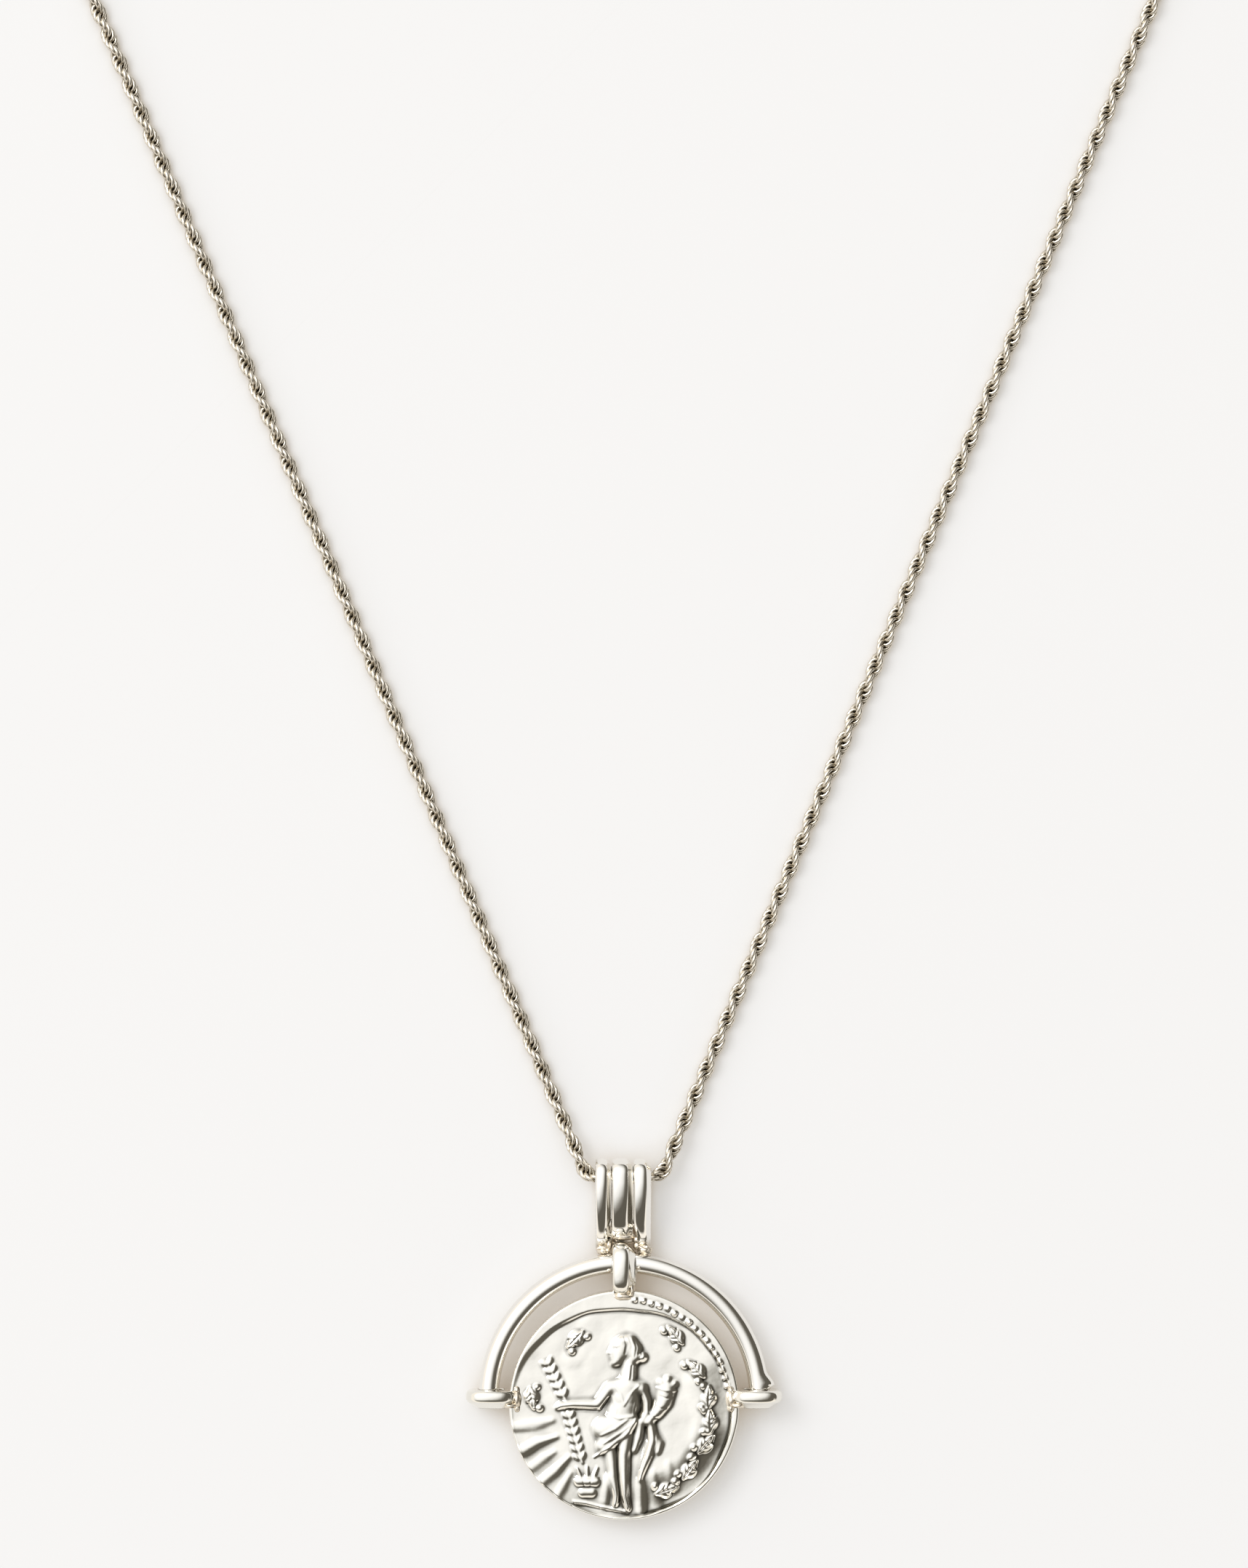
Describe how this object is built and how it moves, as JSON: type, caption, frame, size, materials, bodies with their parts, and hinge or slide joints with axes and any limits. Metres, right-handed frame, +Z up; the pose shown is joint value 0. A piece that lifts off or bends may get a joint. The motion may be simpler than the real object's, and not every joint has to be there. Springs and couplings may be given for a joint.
{
  "type": "coin pendant necklace",
  "caption": "Cast coin with a draped figure, hung in a wire semicircle with a ribbed bail, on a rope chain that lies flat as a closed loop.",
  "frame": {"origin": "on the table under the middle of the whole necklace", "axes": "+Z up off the table, +Y from the coin to the clasp, +X to the right of the coin seen from above"},
  "size_m": [0.1252, 0.2446, 0.0042],
  "materials": {
    "cast_silver": "cast, tumbled and polished, dark in the recesses",
    "wire_silver": "polished silver wire with soldered joints",
    "chain_silver": "polished rope chain, slightly warm",
    "clasp_silver": "polished"
  },
  "bodies": {
    "root": {"coin": "cast_silver", "arc_frame": "wire_silver", "rope_chain": "chain_silver", "end_cap_left": "clasp_silver", "end_cap_right": "clasp_silver", "clasp": "clasp_silver"}
  },
  "joints": []
}
